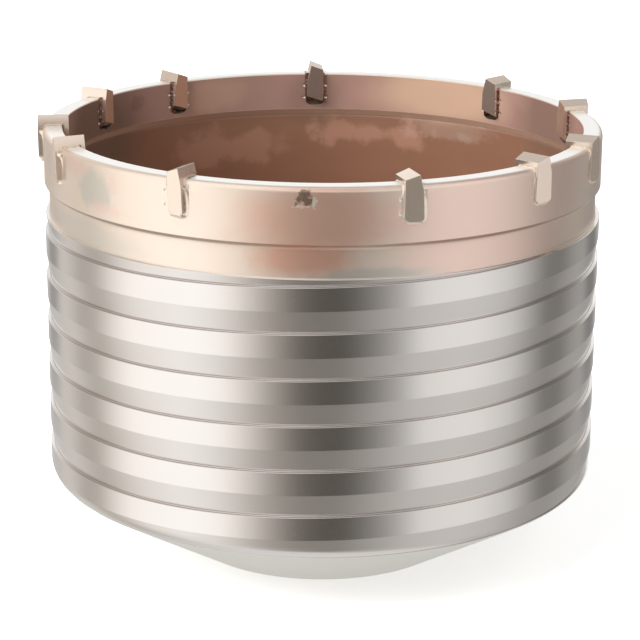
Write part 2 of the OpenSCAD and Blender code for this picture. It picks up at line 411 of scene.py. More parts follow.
def slot_cutter(cup, tips, turn):
    """Bar that cuts one tip's slot through the rim."""
    low = cup.height - tips.sink - tips.seam
    radius = tips.corner + tips.seam
    left = -tips.behind - tips.seam
    right = tips.ahead + tips.seam
    high = cup.height + PAST
    bottom = rounded([(left, high, 0), (left, low, radius), (right, low, radius), (right, high, 0)])
    outline = [Vector((left, high)), *bottom, Vector((right, high))]
    mesh = bmesh.new()
    ends = [[mesh.verts.new((x, p.x, p.y)) for p in outline]
            for x in (cup.barrel_r - cup.rim_wall - PAST, cup.barrel_r + PAST)]
    count = len(outline)
    for i in range(count):
        j = (i + 1) % count
        mesh.faces.new((ends[0][i], ends[0][j], ends[1][j], ends[1][i]))
    mesh.faces.new(ends[0][::-1])
    mesh.faces.new(ends[1])
    bmesh.ops.transform(mesh, matrix=turn, verts=mesh.verts)
    bmesh.ops.recalc_face_normals(mesh, faces=mesh.faces)
    return mesh


def punch_marks(cup, tips, braze, turn):
    """Balls that sink the punch marks beside a tip, inside on both sides and outside behind it."""
    mesh = bmesh.new()
    in_r = cup.barrel_r - cup.rim_wall
    trailing = -tips.behind - tips.seam - braze.mark_gap
    leading = tips.ahead + tips.seam + braze.mark_gap
    lift = braze.mark_r - braze.mark_sink
    for r, shift, y in ((in_r, -lift, trailing), (in_r, -lift, leading),
                        (cup.barrel_r, lift, trailing)):
        x = math.sqrt(r * r - y * y) + shift
        for drop in (braze.mark_top, braze.mark_low):
            place = turn @ Matrix.Translation((x, y, cup.height - drop))
            bmesh.ops.create_icosphere(mesh, subdivisions=2, radius=braze.mark_r, matrix=place)
    return mesh


# Tips

# Side of the block that a tip is cut from
BLOCK = 0.03
# Degrees below which two faces are one, and over which an edge is honed
FLAT = 0.5
SHARP = 24


def ridge_turn(node):
    """Turn about the axis that puts +X along a tip's cutting ridge, read from its solid."""
    points = [v.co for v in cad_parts[node].data.vertices]
    top = max(p.z for p in points)
    ridge = [p for p in points if p.z > top - MERGE]
    return Matrix.Rotation(math.atan2(sum(p.y for p in ridge), sum(p.x for p in ridge)), 4, "Z")


def tip_faces(cup, tips):
    """Planes of a tip as (point, outward direction), with +X outwards and +Y ahead of the ridge."""
    top = cup.height + tips.rise
    low = cup.height - tips.sink
    wide = tips.behind + tips.ahead
    heel = tips.heel_rise / tips.heel_len
    ridge = Vector((0, 0, top))
    outer = Vector((cup.barrel_r + tips.out, tips.ahead, top))
    inner = Vector((cup.barrel_r - cup.rim_wall - tips.inside, tips.ahead, top))
    planes = [
        (ridge, Vector((0, -tips.relief, tips.behind))),
        (ridge, Vector((0, tips.chamfer_h, tips.ahead - tips.lean))),
        (outer, Vector((1, -tips.fall / wide, -tips.draft / (top - low)))),
        (inner, Vector((-1, -tips.clearance / wide, 0))),
        (Vector((inner.x, -tips.behind, low + tips.heel_rise)),
         Vector((-heel, tips.heel_lean / wide * math.hypot(1, heel), -1))),
        (Vector((0, -tips.behind, 0)), Vector((0, -1, 0)))]
    bottom = rounded([(-tips.behind, top, 0), (-tips.behind, low, tips.corner),
                      (tips.ahead, low, tips.corner), (tips.ahead, top, 0)])
    bottom.append(Vector((tips.ahead - tips.lean, top - tips.chamfer_h)))
    for here, after in zip(bottom, bottom[1:]):
        side = after - here
        if side.length > MERGE:
            planes.append((Vector((0, here.x, here.y)), Vector((0, side.y, -side.x))))
    return planes


def tip_mesh(cup, tips, turn):
    """Block cut down by a tip's planes, with its edges honed."""
    mesh = bmesh.new()
    middle = Matrix.Translation((cup.barrel_r, 0, cup.height))
    bmesh.ops.create_cube(mesh, size=BLOCK, matrix=middle)
    for point, outward in tip_faces(cup, tips):
        parts = mesh.verts[:] + mesh.edges[:] + mesh.faces[:]
        bmesh.ops.bisect_plane(mesh, geom=parts, plane_co=point, plane_no=outward,
                               dist=MERGE / 10, clear_outer=True)
        corners = [v.co.copy() for v in mesh.verts]
        mesh.clear()
        for corner in corners:
            mesh.verts.new(corner)
        bmesh.ops.remove_doubles(mesh, verts=mesh.verts, dist=MERGE)
        bmesh.ops.convex_hull(mesh, input=mesh.verts)
    bmesh.ops.dissolve_limit(mesh, angle_limit=math.radians(FLAT), verts=mesh.verts,
                             edges=mesh.edges)
    bmesh.ops.recalc_face_normals(mesh, faces=mesh.faces)
    sharp = [e for e in mesh.edges if e.is_manifold and e.calc_face_angle() > math.radians(SHARP)]
    bmesh.ops.bevel(mesh, geom=sharp, offset=tips.edge, segments=2, profile=0.5, affect="EDGES",
                    clamp_overlap=True)
    bmesh.ops.transform(mesh, matrix=turn, verts=mesh.verts)
    return mesh


# Braze

# Sections over which a bead grows at each end
END_SECTIONS = 4
# Pace and layer of the two waves that make a bead uneven, in its height and in its width
LUMP_WAVE = (0.3, 0)
DRIFT_WAVE = (0.23, 7)
# A face counts as facing a way from this share of it
FACING = 1e-6


def seam_path(cup, tips):
    """Places and outward directions along the seam round a tip, in the tip's own frame."""
    in_r = cup.barrel_r - cup.rim_wall
    half = tips.seam / 2
    low = cup.height - tips.sink - half
    heel = low + tips.heel_rise
    radius = tips.corner + half
    trailing = -tips.behind - half
    leading = tips.ahead + half
    centre = Vector((cup.barrel_r - cup.rim_round, cup.height - cup.rim_round))
    path = []

    def on_wall(r, y, z, sign):
        x = math.sqrt(r * r - y * y)
        path.append((Vector((x, y, z)), Vector((sign * x / r, sign * y / r, 0))))

    def over_rim(y, inwards):
        places = []
        for p in arc(centre, cup.rim_round, 0, math.pi / 2):
            x = math.sqrt(p.x * p.x - y * y)
            outward = Vector((p.x - centre.x, 0, p.y - centre.y)).normalized()
            places.append((Vector((x, y, p.y)), outward))
        x = math.sqrt(in_r * in_r - y * y)
        places.append((Vector((x, y, cup.height)), Vector((-1, 0, 1)).normalized()))
        path.extend(places if inwards else places[::-1])

    on_wall(in_r, trailing, heel, -1)
    on_wall(in_r, trailing, cup.height - half, -1)
    over_rim(trailing, False)
    for p in rounded([(trailing, centre.y, 0), (trailing, low, radius),
                      (leading, low, radius), (leading, centre.y, 0)]):
        on_wall(cup.barrel_r, p.x, p.y, 1)
    over_rim(leading, True)
    on_wall(in_r, leading, cup.height - half, -1)
    on_wall(in_r, leading, heel + tips.heel_lean, -1)
    return path


def room_at(faces, place, across, outward):
    """How far a tip's side lies from a place, and how far the tip stands over the steel there."""
    gap = max((place - point).dot(normal) / across.dot(normal)
              for point, normal in faces if across.dot(normal) > FACING)
    inside = place - across * (gap + MERGE)
    stand = min((point - inside).dot(normal) / outward.dot(normal)
                for point, normal in faces if outward.dot(normal) > FACING)
    return gap, stand


def fillet_section(gap, spread, climb, bury, hollow):
    """Closed section of the fillet: x over the steel away from the tip, y out of the steel."""
    steps = ARC_STEPS + 1
    curve = [(-gap + (gap + spread) * math.cos(a) ** hollow, climb * math.sin(a) ** hollow)
             for a in (math.pi / 2 * i / steps for i in range(steps, -1, -1))]
    return [(-gap - bury, -bury), (-gap - bury, climb)] + curve + [(spread, -bury)]


def stops_along(path, step):
    """Places and outward directions at close steps along a path."""
    stops = []
    for (here, out_here), (after, out_after) in zip(path, path[1:]):
        pieces = max(1, math.ceil((after - here).length / step))
        stops += [(here.lerp(after, i / pieces), out_here.lerp(out_after, i / pieces).normalized())
                  for i in range(pieces)]
    return stops + [path[-1]]


def wave(i, seed, pace_and_layer):
    """Value of a bead's wave at one section."""
    pace, layer = pace_and_layer
    return noise.noise(Vector((i * pace, seed, layer)))


def bead_mesh(cup, tips, braze, turn, seed):
    """Uneven fillet of braze swept along the seam round a tip."""
    faces = [(point, normal.normalized()) for point, normal in tip_faces(cup, tips)]
    stops = stops_along(seam_path(cup, tips), braze.step)
    mesh = bmesh.new()
    rings = []
    for i, (place, outward) in enumerate(stops):
        along = (stops[min(i + 1, len(stops) - 1)][0] - stops[max(i - 1, 0)][0]).normalized()
        across = along.cross(outward).normalized()
        gap, stand = room_at(faces, place, across, outward)
        if outward.x < 0:
            uneven, size = 2 * braze.beads, braze.inner
        else:
            ahead = (place.y + tips.behind) / (tips.behind + tips.ahead)
            uneven = 2 * braze.lumps
            size = braze.trailing + (1 - braze.trailing) * min(1, max(0, ahead))
        size *= min(1, (i + 1) / END_SECTIONS, (len(stops) - i) / END_SECTIONS)
        spread = braze.spread * (1 + uneven * wave(i, seed, DRIFT_WAVE)) * size
        climb = braze.climb * (1 + uneven * wave(i, seed, LUMP_WAVE)) * size
        climb = max(min(climb, stand - braze.bury / 2), 0)
        section = fillet_section(max(gap, 0), spread, climb, braze.bury, braze.hollow)
        rings.append([mesh.verts.new(place + across * x + outward * y) for x, y in section])
    sides = len(rings[0])
    for ring, following in zip(rings, rings[1:]):
        for s in range(sides):
            n = (s + 1) % sides
            mesh.faces.new((ring[s], ring[n], following[n], following[s]))
    mesh.faces.new(rings[0][::-1])
    mesh.faces.new(rings[-1])
    bmesh.ops.recalc_face_normals(mesh, faces=mesh.faces)
    bmesh.ops.transform(mesh, matrix=turn, verts=mesh.verts)
    return mesh


# Materials

class Nodes:
    """Short hand for adding and joining nodes of one tree."""

    def __init__(self, tree):
        self.tree = tree

    def add(self, kind, inputs=None, **settings):
        node = self.tree.nodes.new(kind)
        for name, value in settings.items():
            setattr(node, name, value)
        self.fill(node, inputs)
        return node

    def fill(self, node, inputs):
        """Joins or sets the inputs of a node."""
        for socket, value in (inputs or {}).items():
            target = node.inputs[socket]
            if isinstance(value, bpy.types.NodeSocket):
                self.tree.links.new(value, target)
            else:
                target.default_value = value

    def use(self, tree, inputs=None):
        """Node that runs a group, as its outputs."""
        return self.add("ShaderNodeGroup", inputs, node_tree=tree).outputs

    def where(self):
        """Place of a point in the object's own axes."""
        return self.add("ShaderNodeTexCoord").outputs["Object"]

    def math(self, operation, *values):
        node = self.add("ShaderNodeMath", dict(enumerate(values)), operation=operation)
        return node.outputs[0]

    def times(self, first, *others):
        """Product of two or more values."""
        for value in others:
            first = self.math("MULTIPLY", first, value)
        return first

    def vector(self, operation, output, *values):
        inputs = dict(enumerate(values))
        return self.add("ShaderNodeVectorMath", inputs, operation=operation).outputs[output]

    def noise(self, vector, scale, detail, rough=0.5):
        inputs = {"Vector": vector, "Scale": scale, "Detail": detail, "Roughness": rough}
        return self.add("ShaderNodeTexNoise", inputs).outputs["Fac"]

    def fade(self, value, low, high):
        """0 at one value and 1 at another, with a smooth change between them."""
        inputs = {"Value": value, "From Min": low, "From Max": high}
        return self.add("ShaderNodeMapRange", inputs,
                        interpolation_type="SMOOTHSTEP").outputs["Result"]

    def mix(self, factor, first, second):
        inputs = {"Factor": factor, 6: first, 7: second}
        return self.add("ShaderNodeMix", inputs, data_type="RGBA").outputs[2]


def group(name, inputs, outputs):
    """Group with named sockets, its nodes, inputs and end. The last three are None if it exists."""
    tree = bpy.data.node_groups.get(name)
    if tree:
        return tree, None, None, None
    tree = bpy.data.node_groups.new(name, "ShaderNodeTree")
    for socket, (kind, default) in inputs.items():
        made = tree.interface.new_socket(socket, in_out="INPUT", socket_type=kind)
        made.default_value = default
    for socket, kind in outputs.items():
        tree.interface.new_socket(socket, in_out="OUTPUT", socket_type=kind)
    nodes = Nodes(tree)
    entry = nodes.add("NodeGroupInput")
    leave = nodes.add("NodeGroupOutput")
    return tree, nodes, entry.outputs, leave


def rgba(values):
    return (*values, 1.0)


def grey(level):
    return rgba((level, level, level))


FLOAT = "NodeSocketFloat"
COLOUR = "NodeSocketColor"
# Reach of a patch's ragged edge, and the fade of its rim, in half widths
RAGGED_REACH = 5.0
PATCH_FULL = 0.45
PATCH_END = 1.2
# Marks of turned metal: how often lathe lines and upright streaks change along X, Y and Z, and grit
# in all directions, and the values of the grit between which its mask rises
LINE_PACE = (60.0, 60.0, 9000.0)
STREAK_PACE = (2200.0, 2200.0, 30.0)
GRIT_PACE = 5200.0
GRIT_MASK = (0.35, 0.7)


def place_group():
    """Degrees from the front and from the back, and millimetres up and from the axis."""
    outputs = {"Degrees": FLOAT, "From the back": FLOAT, "Up": FLOAT, "Radius": FLOAT}
    tree, nodes, _, leave = group("Place on the cutter", {}, outputs)
    if nodes:
        where = nodes.where()
        axes = nodes.add("ShaderNodeSeparateXYZ", {0: where}).outputs
        nearer = nodes.times(axes["Y"], -1.0)
        flat = nodes.vector("MULTIPLY", 0, where, (MM, MM, 0.0))
        nodes.fill(leave, {
            "Degrees": nodes.math("DEGREES", nodes.math("ARCTAN2", axes["X"], nearer)),
            "From the back": nodes.math("DEGREES", nodes.math("ARCTAN2", axes["X"], axes["Y"])),
            "Up": nodes.times(axes["Z"], MM), "Radius": nodes.vector("LENGTH", "Value", flat)})
    return tree


def patch_group():
    """Soft ragged patch round a place: 1 inside, 0 outside."""
    inputs = {"Degrees": (FLOAT, 0.0), "Up": (FLOAT, 0.0), "Centre degrees": (FLOAT, 0.0),
              "Centre up": (FLOAT, 0.0), "Half width": (FLOAT, 10.0), "Half height": (FLOAT, 5.0),
              "Raggedness": (FLOAT, 0.5), "Grain": (FLOAT, 400.0)}
    tree, nodes, entry, leave = group("Patch", inputs, {"Mask": FLOAT})
    if nodes:
        across = nodes.math("SUBTRACT", entry["Degrees"], entry["Centre degrees"])
        across = nodes.math("DIVIDE", across, entry["Half width"])
        up = nodes.math("SUBTRACT", entry["Up"], entry["Centre up"])
        up = nodes.math("DIVIDE", up, entry["Half height"])
        square = nodes.math("ADD", nodes.math("POWER", across, 2.0), nodes.math("POWER", up, 2.0))
        ragged = nodes.noise(nodes.where(), entry["Grain"], 4.0, 0.6)
        ragged = nodes.math("SUBTRACT", ragged, 0.5)
        ragged = nodes.times(ragged, nodes.times(entry["Raggedness"], RAGGED_REACH))
        reach = nodes.math("ADD", nodes.math("SQRT", square), ragged)
        mask = nodes.math("SUBTRACT", 1.0, nodes.fade(reach, PATCH_FULL, PATCH_END))
        nodes.fill(leave, {"Mask": mask})
    return tree


def blotch_group():
    """Cloudy mix of two colours, with a share for the second."""
    inputs = {"First": (COLOUR, grey(0.8)), "Second": (COLOUR, grey(0.5)), "Share": (FLOAT, 0.5),
              "Softness": (FLOAT, 0.1), "Scale": (FLOAT, 60.0), "Stretch": (FLOAT, 1.0)}
    tree, nodes, entry, leave = group("Blotches", inputs, {"Colour": COLOUR, "Mask": FLOAT})
    if nodes:
        tall = nodes.add("ShaderNodeCombineXYZ", {0: 1.0, 1: 1.0, 2: entry["Stretch"]}).outputs[0]
        where = nodes.vector("MULTIPLY", 0, nodes.where(), tall)
        middle = nodes.math("SUBTRACT", 1.0, entry["Share"])
        low = nodes.math("SUBTRACT", middle, entry["Softness"])
        high = nodes.math("ADD", middle, entry["Softness"])
        mask = nodes.fade(nodes.noise(where, entry["Scale"], 4.0, 0.55), low, high)
        colour_here = nodes.mix(mask, entry["First"], entry["Second"])
        nodes.fill(leave, {"Colour": colour_here, "Mask": mask})
    return tree


def turned_group():
    """Surface of turned and blasted steel: lathe lines, upright streaks and grit, as one height."""
    inputs = {"Lines": (FLOAT, 1.0), "Streaks": (FLOAT, 1.0), "Grit": (FLOAT, 1.0)}
    outputs = {"Height": FLOAT, "Grit mask": FLOAT}
    tree, nodes, entry, leave = group("Turned steel", inputs, outputs)
    if nodes:
        where = nodes.where()
        lines = nodes.noise(nodes.vector("MULTIPLY", 0, where, LINE_PACE), 1.0, 2.0)
        streaks = nodes.noise(nodes.vector("MULTIPLY", 0, where, STREAK_PACE), 1.0, 2.0)
        grit = nodes.noise(where, GRIT_PACE, 2.0, 0.7)
        total = nodes.times(lines, entry["Lines"])
        total = nodes.math("MULTIPLY_ADD", streaks, entry["Streaks"], total)
        total = nodes.math("MULTIPLY_ADD", grit, entry["Grit"], total)
        nodes.fill(leave, {"Height": total, "Grit mask": nodes.fade(grit, *GRIT_MASK)})
    return tree


def material(name, metallic):
    """New material with its nodes and its Principled shader."""
    made = bpy.data.materials.new(name)
    made.use_nodes = True
    shader = made.node_tree.nodes["Principled BSDF"]
    shader.inputs["Metallic"].default_value = metallic
    return made, Nodes(made.node_tree), shader


# Heat tints and stains, with some patches of painted light and shade: colour, share, degrees and
# millimetres up of the middle, half width in degrees, half height in millimetres, raggedness and
# grain. Those of the hollow are counted from the back
RIM_TINTS = (
    ("rose", 0.75, 36, 88, 26, 14, 0.25, 40), ("copper", 0.7, -2, 89, 16, 9, 0.25, 40),
    ("copper", 0.85, -5, 80.6, 12, 4, 0.3, 60), ("rose", 0.8, 34, 79, 22, 4.5, 0.25, 50),
    ("verdigris", 0.7, 10, 77.2, 14, 1.8, 0.3, 120), ("verdigris", 0.5, -54, 79, 20, 4, 0.2, 60),
    ("verdigris", 0.7, -50, 89.5, 5.5, 4, 0.5, 120), ("rose", 0.6, -56, 93, 5, 1.8, 0.6, 200),
    ("rose", 0.5, -46, 86, 5, 1.4, 0.6, 200), ("rose", 0.5, -44, 92, 2.4, 2.4, 0.6, 200),
    # The first patch on the next line, a dark band all round at 83.35 mm, is painted shade in the
    # crease under the rim; the second is a soot stain
    ("soot_and_shade", 0.55, 0, 83.35, 400, 0.5, 0.02, 60), ("soot_and_shade", 0.75, -3, 93.1, 1.7, 1.5, 0.9, 700),
    ("filler", 1.0, -1.5, 92.6, 0.5, 1.3, 0.9, 1500),
    ("filler", 0.9, -4, 91.6, 1.8, 0.3, 1.0, 1500))
HOLLOW_TINTS = (
    # The first two patches are painted light where the key lamp falls on the land, and the three
    # larger dark patches after them are painted shade. The band all round at 86.1 mm lays the
    # bright colour along the land's foot, and the small ragged patches are stains
    ("lit_land", 0.9, 30, 91.5, 21, 7, 0.1, 40), ("lit_land", 0.4, -29, 91, 13, 5, 0.3, 60),
    ("soot_and_shade", 0.8, -65, 86, 19, 18, 0.1, 40), ("soot_and_shade", 0.35, -2, 90, 8, 9, 0.2, 60),
    ("soot_and_shade", 0.6, 66, 90, 15, 12, 0.2, 60), ("lit_land", 0.9, 0, 86.1, 400, 0.85, 0.02, 60),
    ("copper", 0.2, 13, 81, 14, 3.4, 0.8, 110), ("champagne", 0.1, 32, 83, 14, 2.4, 0.8, 110),
    ("verdigris", 0.1, 36, 82, 3, 1.2, 0.8, 300), ("soot_and_shade", 0.4, -50, 92, 2.4, 2, 0.6, 300),
    ("copper", 0.15, -24, 78, 16, 4, 0.7, 110))
# Each finish: share of metal, scale and stretch of its clouds, lowest and highest roughness, lathe
# lines, upright streaks, grit, and strength of the bump
LOOKS = {
    "rib_steel": (1.0, 25.0, 1.0, 0.17, 0.25, 0.2, 0.5, 0.5, 0.12),
    "rim_steel": (0.88, 30.0, 2.0, 0.33, 0.4, 0.5, 0.0, 0.4, 0.1),
    "hollow_steel": (0.1, 28.0, 2.5, 0.34, 0.44, 0.5, 0.0, 0.3, 0.1),
    "back_steel": (0.9, 30.0, 1.0, 0.28, 0.36, 0.6, 0.0, 0.3, 0.12),
    "ground_carbide": (0.87, 500.0, 1.0, 0.2, 0.26, 0.1, 0.1, 0.2, 0.06),
    "braze_metal": (0.9, 900.0, 1.0, 0.26, 0.4, 0.0, 0.0, 1.0, 0.2)}
# Second colour of each finish's clouds, close to the first one
CLOUDS = {
    "rib_steel": (0.77, 0.73, 0.70), "rim_steel": (0.83, 0.69, 0.58),
    "hollow_steel": (0.24, 0.115, 0.07), "back_steel": (0.77, 0.75, 0.66),
    "ground_carbide": (0.79, 0.66, 0.55), "braze_metal": (0.84, 0.70, 0.58)}
CLOUD_SOFTNESS = 0.25
# Depth that the bump stands for, in metres
BUMP_DEPTH = 0.00003
# Painted shade line in the rib's step: where it starts, is full, wanes and ends, in pitches below
# the ledge plus a half, and its share
STEP_SHADE_LINE = (0.455, 0.475, 0.487, 0.497)
STEP_SHADE_SHARE = 0.45
# Millimetres below the rim's top over which its ground face, lightened in part as painted light,
# turns into the rim's own finish
LIT_GROUND_EDGE = (0.12, 0.02)
# Millimetres up at which the scorched wall turns into the land
LAND_EDGE = (84.6, 85.6)
# Millimetres out from the rim's inner face over which the braze's brown fades
BROWN_FADE = 0.2
# Painted shadow in the bottom of a slot: millimetres out from the rim's inner face, and up from a
# tip's bottom, where it starts and is full
SLOT_SHADOW_REACH = (3, 2)
SLOT_SHADOW_RISE = (0.9, 0.5)


def tinted(nodes, finish, base, around, up, tints):
    """Base colour with tints laid over it, by degrees around and millimetres up."""
    for name, amount, turn, rise, wide, high, ragged, grain in tints:
        inputs = {"Degrees": around, "Up": up, "Centre degrees": turn, "Centre up": rise,
                  "Half width": wide, "Half height": high, "Raggedness": ragged, "Grain": grain}
        mask = nodes.times(nodes.use(patch_group(), inputs)["Mask"], amount)
        base = nodes.mix(mask, base, rgba(getattr(finish, name)))
    return base


def dressed(name, first, tint=None):
    """Material of turned metal in two clouded colours, which a function may tint further."""
    metallic, cloud, stretch, low, high, lines, streaks, grit, bump = LOOKS[name]
    made, nodes, shader = material(name, metallic)
    clouds = {"First": rgba(first), "Second": rgba(CLOUDS[name]), "Share": 0.5,
              "Softness": CLOUD_SOFTNESS, "Scale": cloud, "Stretch": stretch}
    base = nodes.use(blotch_group(), clouds)["Colour"]
    turned = {"Lines": lines, "Streaks": streaks, "Grit": grit}
    metal = nodes.use(turned_group(), turned)
    rough = {"Value": metal["Grit mask"], "To Min": low, "To Max": high}
    height = {"Height": metal["Height"], "Strength": bump, "Distance": BUMP_DEPTH}
    nodes.fill(shader, {
        "Base Color": tint(nodes, nodes.use(place_group()), base) if tint else base,
        "Roughness": nodes.add("ShaderNodeMapRange", rough).outputs[0],
        "Normal": nodes.add("ShaderNodeBump", height).outputs[0]})
    return made


def rib_steel(finish):
    """Satin plated steel of the ribs, with painted shade in the step."""
    cup = bpy.context.scene.cutter_cup
    pitch = MM * cup.rib_pitch
    neck_low = MM * (cup.height - cup.rim_h - cup.neck_h)
    # The front is a quarter turn before +X, and half a pitch keeps the line off the fraction's jump
    start = neck_low - pitch * (0.25 + cup.rib_start / FULL_TURN + 0.5)

    def step_shade_line(nodes, place, base):
        drop = nodes.math("MULTIPLY_ADD", place["Degrees"], pitch / 360, start)
        drop = nodes.math("DIVIDE", nodes.math("SUBTRACT", drop, place["Up"]), pitch)
        below = nodes.math("FRACT", drop)
        starts, full, wanes, ends = STEP_SHADE_LINE
        line = nodes.times(nodes.fade(below, starts, full), nodes.fade(below, ends, wanes))
        # Painted shade: a dark line laid in the crease under each rib's ledge
        return nodes.mix(nodes.times(line, STEP_SHADE_SHARE), base, rgba(finish.soot_and_shade))

    return dressed("rib_steel", finish.steel, step_shade_line)


def rim_steel(finish):
    """Rim and neck, tinted by the brazing heat, with painted shade under the rim and a ground top
    partly lightened as painted light.
    """
    top = MM * BODY_HIGH.z

    def heat(nodes, place, base):
        base = tinted(nodes, finish, base, place["Degrees"], place["Up"], RIM_TINTS)
        # Painted light in part: the ground top is lightened for the light that falls on its flat
        # face
        ground = nodes.fade(place["Up"], top - LIT_GROUND_EDGE[0], top - LIT_GROUND_EDGE[1])
        return nodes.mix(ground, base, rgba(finish.ground))

    return dressed("rim_steel", finish.champagne, heat)


def hollow_steel(finish):
    """Inside of the cup: rose brown land, scorched below, with copper and grey-green stains, and
    painted light and shade on the land.
    """
    def scale(nodes, place, base):
        base = nodes.mix(nodes.fade(place["Up"], *LAND_EDGE), base, rgba(finish.land))
        # These tints lay painted light and shade on the land, as well as stains
        return tinted(nodes, finish, base, place["From the back"], place["Up"], HOLLOW_TINTS)

    return dressed("hollow_steel", finish.scorched, scale)


def back_steel(finish):
    """Conical back, rear face and socket, pale and plain."""
    return dressed("back_steel", finish.back)


def ground_carbide(finish):
    """Ground carbide with fine grinding marks."""
    return dressed("ground_carbide", finish.carbide)


def braze_metal(finish):
    """Braze filler with a frozen, slightly pitted skin, brown inside the rim, with painted shadow
    in a slot.
    """
    inside = MM * (BODY_HIGH.x - bpy.context.scene.cutter_cup.rim_wall)
    low = MM * (BODY_HIGH.z - bpy.context.scene.cutter_tips.sink)

    def stain(nodes, place, base):
        brown = nodes.fade(place["Radius"], inside + BROWN_FADE, inside)
        base = nodes.mix(brown, base, rgba(finish.land))
        # Painted shadow: darkens the braze at the bottom of a slot inside the rim, under the tip
        slot_shadow = nodes.times(
            nodes.fade(place["Radius"], inside + SLOT_SHADOW_REACH[0], inside + SLOT_SHADOW_REACH[1]),
            nodes.fade(place["Up"], low + SLOT_SHADOW_RISE[0], low + SLOT_SHADOW_RISE[1]))
        return nodes.mix(slot_shadow, base, rgba(finish.soot_and_shade))

    return dressed("braze_metal", finish.filler, stain)


# Pieces

def mesh_data(name, mesh):
    """Mesh data of a bmesh, which is freed."""
    data = bpy.data.meshes.new(name)
    mesh.to_mesh(data)
    mesh.free()
    return data


def placed(name, data):
    """Object of some data, in the scene."""
    made = bpy.data.objects.new(name, data)
    bpy.context.scene.collection.objects.link(made)
    return made


def piece(name, mesh, finishes, nodes=()):
    """Object made from a mesh, on the root body, that stands for some solids."""
    made = placed(name, mesh_data(name, mesh))
    for finish in finishes:
        made.data.materials.append(finish)
    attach(made, "root")
    if nodes:
        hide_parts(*nodes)
    return made


def evaluated(made):
    """The object's mesh with its modifiers applied."""
    bpy.context.view_layer.update()
    result = made.evaluated_get(bpy.context.evaluated_depsgraph_get())
    return bpy.data.meshes.new_from_object(result)


# Degrees over which an edge is kept sharp in the cup, and in the tips and beads
CUP_EDGE = 35
SMALL_EDGE = 60


def shade(made, degrees):
    """Smooth faces, with edges sharper than an angle kept, and normals that favour large faces."""
    data = made.data
    data.polygons.foreach_set("use_smooth", [True] * len(data.polygons))
    data.set_sharp_from_angle(angle=math.radians(degrees))
    weighted = made.modifiers.new("weighted", "WEIGHTED_NORMAL")
    weighted.keep_sharp = True


def round_off(made, radii):
    """Points the normals of faces on cylinders straight out from the axis, or in towards it."""
    data = evaluated(made)
    made.modifiers.clear()
    made.data = data
    normals = [Vector(corner.vector) for corner in data.corner_normals]
    places = [Vector(v.co) for v in data.vertices]
    for face in data.polygons:
        for radius in radii:
            if all(abs(places[v].xy.length - radius) < MERGE for v in face.vertices):
                sign = math.copysign(1, face.normal.xy.dot(face.center.xy))
                for loop, vertex in zip(face.loop_indices, face.vertices):
                    normals[loop] = sign * places[vertex].xy.to_3d().normalized()
    data.normals_split_custom_set(normals)


def cut_away(made, cutter_mesh):
    """Cuts a mesh out of an object's own."""
    cutter = placed("cutter", mesh_data("cutter", cutter_mesh))
    cut = made.modifiers.new("cut", "BOOLEAN")
    cut.object = cutter
    cut.operation = "DIFFERENCE"
    cut.solver = "MANIFOLD"
    result = evaluated(made)
    made.modifiers.remove(cut)
    made.data = result
    data = cutter.data
    bpy.data.objects.remove(cutter)
    bpy.data.meshes.remove(data)


def joined(meshes):
    """One mesh that holds several."""
    total = bmesh.new()
    for mesh in meshes:
        data = mesh_data("part", mesh)
        total.from_mesh(data)
        bpy.data.meshes.remove(data)
    return total


class CUTTER_OT_cup(bpy.types.Operator):
    """Model the ribbed cup with its slots and punch marks"""

    bl_idname = "cutter.cup"
    bl_label = "Cup"

    def execute(self, context):
        cup, tips, braze = settings()
        finish = context.scene.cutter_finish
        finishes = [dress(finish) for dress in (back_steel, rib_steel, rim_steel, hollow_steel)]
        made = piece("ribbed_cup", skin(cup), finishes, ["body"])
        turns = [ridge_turn(node) for node in TIP_NODES]
        cutters = [slot_cutter(cup, tips, turn) for turn in turns]
        cutters += [punch_marks(cup, tips, braze, turn) for turn in turns]
        cut_away(made, joined(cutters))
        shade(made, CUP_EDGE)
        round_off(made, (cup.barrel_r, cup.barrel_r - cup.rim_wall))
        return {"FINISHED"}


class CUTTER_OT_tips(bpy.types.Operator):
    """Model the carbide tips"""

    bl_idname = "cutter.tips"
    bl_label = "Tips"

    def execute(self, context):
        cup, tips, _ = settings()
        carbide = ground_carbide(context.scene.cutter_finish)
        for node in TIP_NODES:
            mesh = tip_mesh(cup, tips, ridge_turn(node))
            shade(piece(f"carbide_{node}", mesh, [carbide], [node]), SMALL_EDGE)
        return {"FINISHED"}


class CUTTER_OT_braze(bpy.types.Operator):
    """Finish the braze in the seams and lay its beads"""

    bl_idname = "cutter.braze"
    bl_label = "Braze"

    def execute(self, context):
        cup, tips, braze = settings()
        filler = braze_metal(context.scene.cutter_finish)
        for node in BRAZE_NODES:
            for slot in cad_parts[node].material_slots:
                slot.material = filler
        for seed, node in enumerate(TIP_NODES):
            mesh = bead_mesh(cup, tips, braze, ridge_turn(node), seed)
            shade(piece(f"bead_{node}", mesh, [filler]), SMALL_EDGE)
        return {"FINISHED"}


# Stage

